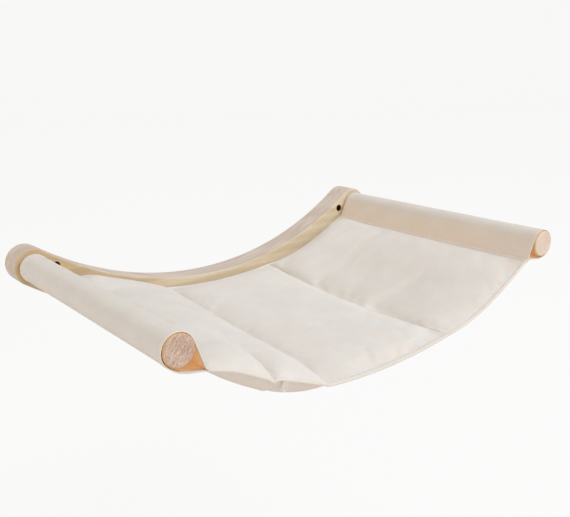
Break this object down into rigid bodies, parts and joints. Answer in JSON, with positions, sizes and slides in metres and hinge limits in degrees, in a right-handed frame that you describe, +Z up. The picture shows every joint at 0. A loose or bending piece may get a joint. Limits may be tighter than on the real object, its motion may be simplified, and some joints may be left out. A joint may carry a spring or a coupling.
{
  "type": "wall-mounted pet hammock shelf",
  "caption": "Bowed wooden wall rail with standing-out dowels that carry a padded canvas sling bed, which slips off on its sewn sleeves.",
  "frame": {"origin": "on the wall plane (the rail's flat back), midway between the two wall-screw holes", "axes": "+X to the right along the wall, +Y into the wall, +Z up; the dowels stand out towards -Y"},
  "size_m": [0.556, 0.386, 0.1274],
  "materials": {
    "rail_wood": "fine sanded, satin clear coat",
    "dowel_wood": "fine sanded, satin clear coat",
    "zinc_steel": "zinc plated",
    "insert_brass": "as turned",
    "canvas": "undyed cotton canvas",
    "wadding": "soft white wadding"
  },
  "bodies": {
    "frame": {"wall_rail": "rail_wood", "left_dowel": "dowel_wood", "right_dowel": "dowel_wood", "dowel_bolts": "zinc_steel", "dowel_washers": "zinc_steel", "dowel_inserts": "insert_brass"},
    "sling": {"left_sleeve": "canvas", "right_sleeve": "canvas", "bed_top_panel": "canvas", "bed_bottom_panel": "canvas", "left_filling": "wadding", "middle_filling": "wadding", "right_filling": "wadding"}
  },
  "joints": [
    {"name": "sling_slide", "type": "slide", "parent": "frame", "child": "sling", "axis": [0, -1, 0], "range_m": [0, 0.36]}
  ]
}
